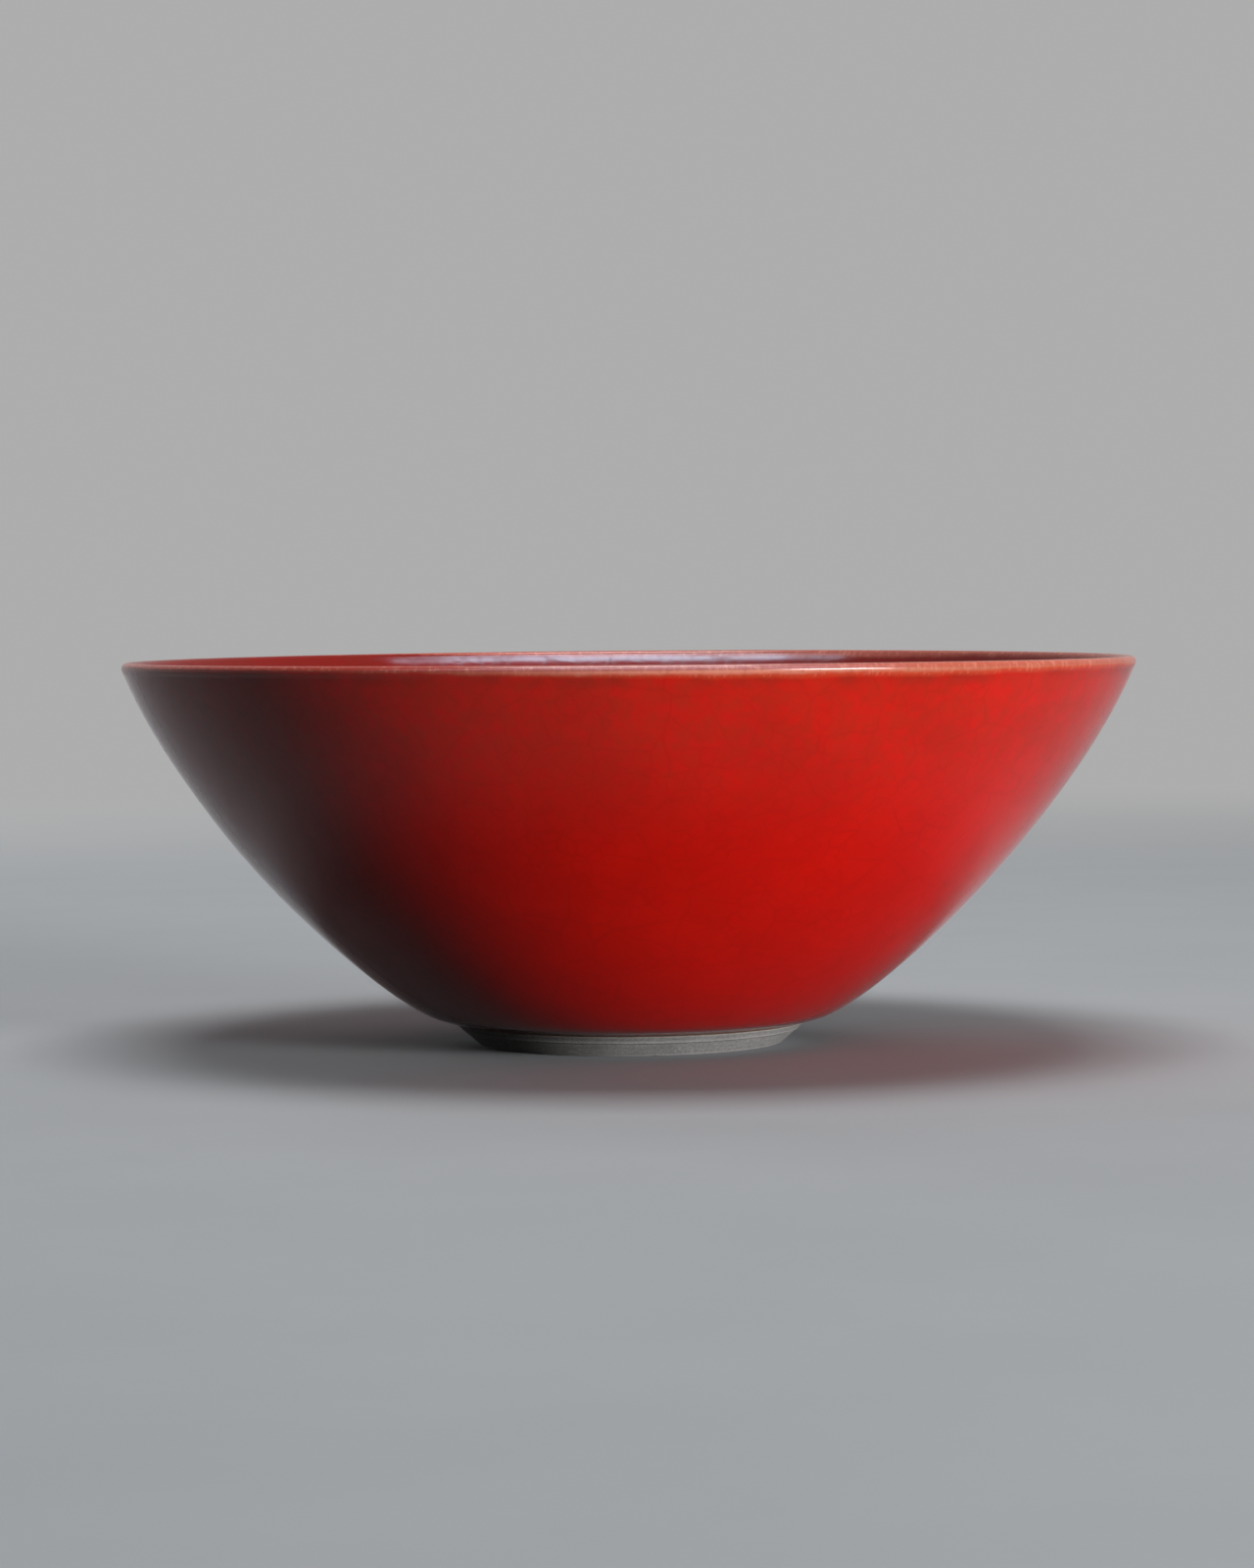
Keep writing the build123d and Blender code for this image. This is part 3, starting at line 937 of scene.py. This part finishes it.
def floor_finish():
    """Pale and matt near the bowl, and the world's own tone far away."""
    t = Tree(bpy.data.materials.new("pale_floor"))
    point = t.add("ShaderNodeTexCoord").outputs["Object"]
    away = t.add("ShaderNodeVectorMath", {0: point}, operation="LENGTH").outputs["Value"]
    seen = t.mix(t.fade(t.noise(point, *FLOOR_CLOUD), *PALER_IN_CLOUD), FLOOR_PALE, FLOOR_PALER)
    colour = t.mix(camera_or_mirror(t), FLOOR_BOUNCE, seen)
    matt = t.add("ShaderNodeBsdfDiffuse", {"Color": colour})
    light = t.fade(camera_or_mirror(t), 0.0, 1.0, FAR_FLOOR_LIGHT, BACKGROUND)
    glow = t.add("ShaderNodeEmission", {"Color": WHITE, "Strength": light})
    far = t.fade(away, *FLOOR_INTO_WORLD)
    both = t.add("ShaderNodeMixShader", {0: far, 1: matt.outputs[0], 2: glow.outputs[0]})
    t.show(both, "ShaderNodeOutputMaterial")
    return t.owner


def make_floor():
    """A round floor, in rings about the bowl's axis."""
    verts, faces = [(0, 0, 0)], []
    for radius in FLOOR_RADII:
        for k in range(FLOOR_TURNS):
            angle = 2 * math.pi * k / FLOOR_TURNS
            verts.append((radius * math.cos(angle), radius * math.sin(angle), 0))
    for k in range(FLOOR_TURNS):
        faces.append((0, 1 + k, 1 + (k + 1) % FLOOR_TURNS))
    for j in range(len(FLOOR_RADII) - 1):
        a, b = 1 + j * FLOOR_TURNS, 1 + (j + 1) * FLOOR_TURNS
        for k in range(FLOOR_TURNS):
            n = (k + 1) % FLOOR_TURNS
            faces.append((a + k, b + k, b + n, a + n))
    mesh = bpy.data.meshes.new("floor")
    mesh.from_pydata(verts, [], faces)
    mesh.materials.append(floor_finish())
    floor = bpy.data.objects.new("floor", mesh)
    bpy.context.scene.collection.objects.link(floor)
    floor.location.z = -FLOOR_DROP


def make_world():
    world = bpy.data.worlds.new("studio")
    bpy.context.scene.world = world
    t = Tree(world)
    strength = t.add("ShaderNodeMapRange", {
        "Value": camera_or_mirror(t), "To Min": WORLD_LIGHT, "To Max": BACKGROUND,
    }).outputs["Result"]
    back = t.add("ShaderNodeBackground", {"Color": WHITE, "Strength": strength})
    t.show(back, "ShaderNodeOutputWorld")


make_floor()
make_world()


# Lights, in metres and watts
def area_light(name, place, aim, size, power, colour=WHITE, mirrored=True):
    data = bpy.data.lights.new(name, "AREA")
    data.shape = "RECTANGLE"
    data.size, data.size_y = size
    data.energy = power
    data.color = colour
    light = bpy.data.objects.new(name, data)
    bpy.context.scene.collection.objects.link(light)
    light.location = place
    light.visible_camera = False
    light.visible_glossy = mirrored
    way = Vector(aim) - Vector(place)
    light.rotation_euler = way.to_track_quat("-Z", "Y").to_euler()
    return light


# Six strips in an arc over the front of the bowl. Its gloss mirrors them, and they light nothing.
STRIP_HEIGHT = 1.0
STRIP_ARC = ((1.08, -0.38), (0.84, -0.57), (0.50, -0.76), (0.03, -0.85), (-0.40, -0.79),
             (-0.72, -0.65), (-0.98, -0.46))
STRIP_SHARES = (0.35, 0.8, 1.0, 1.0, 0.8, 0.3)
STRIP_WIDTH = 0.11
STRIP_POWER = 8.6                 # for each metre of a strip whose share is 1
STRIP_COLOUR = (0.56, 0.80, 1.0)
STRIP_AIM = (0, 0.03, 0.06)


def strip_lights():
    for k, share in enumerate(STRIP_SHARES):
        start, end = (Vector((*corner, STRIP_HEIGHT)) for corner in STRIP_ARC[k:k + 2])
        run = end - start
        place = (start + end) / 2
        power = STRIP_POWER * run.length * share
        light = area_light(f"strip_{k}", place, STRIP_AIM, (run.length, STRIP_WIDTH), power, STRIP_COLOUR)
        back = (place - Vector(STRIP_AIM)).normalized()
        along = (run - back * run.dot(back)).normalized()
        light.rotation_euler = Matrix((along, back.cross(along), back)).transposed().to_euler()
        light.visible_diffuse = False


area_light("key", place=(0.94, -0.92, 0.24), aim=(0, 0, 0.04), size=(0.50, 0.36), power=23.5)
strip_lights()
area_light("above", place=(0.0, 0.02, 1.25), aim=(0, 0, 0), size=(0.64, 0.64), power=13.5)
area_light("far", place=(0.0, 1.05, 1.15), aim=(0, 0.90, 0), size=(1.8, 0.7), power=5.0, mirrored=False)
area_light("back", place=(-0.60, 1.10, 0.40), aim=(0, 0, 0.04), size=(0.9, 0.5), power=6.0, mirrored=False)


# Camera, in metres, degrees and, for its lens and sensor, millimetres
CAMERA_SIDE = -0.0003
CAMERA_DISTANCE = 0.7913
CAMERA_HEIGHT = 0.0798
CAMERA_PITCH = 2.45
CAMERA_ROLL = 0.437
CAMERA_LENS = 85.0
CAMERA_SENSOR = 30.0
CAMERA_NEAR = 0.01
CAMERA_FAR = 20.0


def make_camera():
    data = bpy.data.cameras.new("camera")
    data.lens = CAMERA_LENS
    data.sensor_fit = "AUTO"
    data.sensor_width = CAMERA_SENSOR
    data.clip_start, data.clip_end = CAMERA_NEAR, CAMERA_FAR
    camera = bpy.data.objects.new("camera", data)
    bpy.context.scene.collection.objects.link(camera)
    pitch, roll = math.radians(CAMERA_PITCH), math.radians(CAMERA_ROLL)
    forward = Vector((0, math.cos(pitch), -math.sin(pitch)))
    right, up = Vector((1, 0, 0)), Vector((0, math.sin(pitch), math.cos(pitch)))
    turned_right = right * math.cos(roll) - up * math.sin(roll)
    turned_up = right * math.sin(roll) + up * math.cos(roll)
    axes = Matrix((turned_right, turned_up, -forward)).transposed().to_4x4()
    place = (CAMERA_SIDE, -CAMERA_DISTANCE, CAMERA_HEIGHT)
    camera.matrix_world = Matrix.Translation(place) @ axes
    bpy.context.scene.camera = camera


make_camera()
bpy.context.scene.view_settings.view_transform = "Standard"
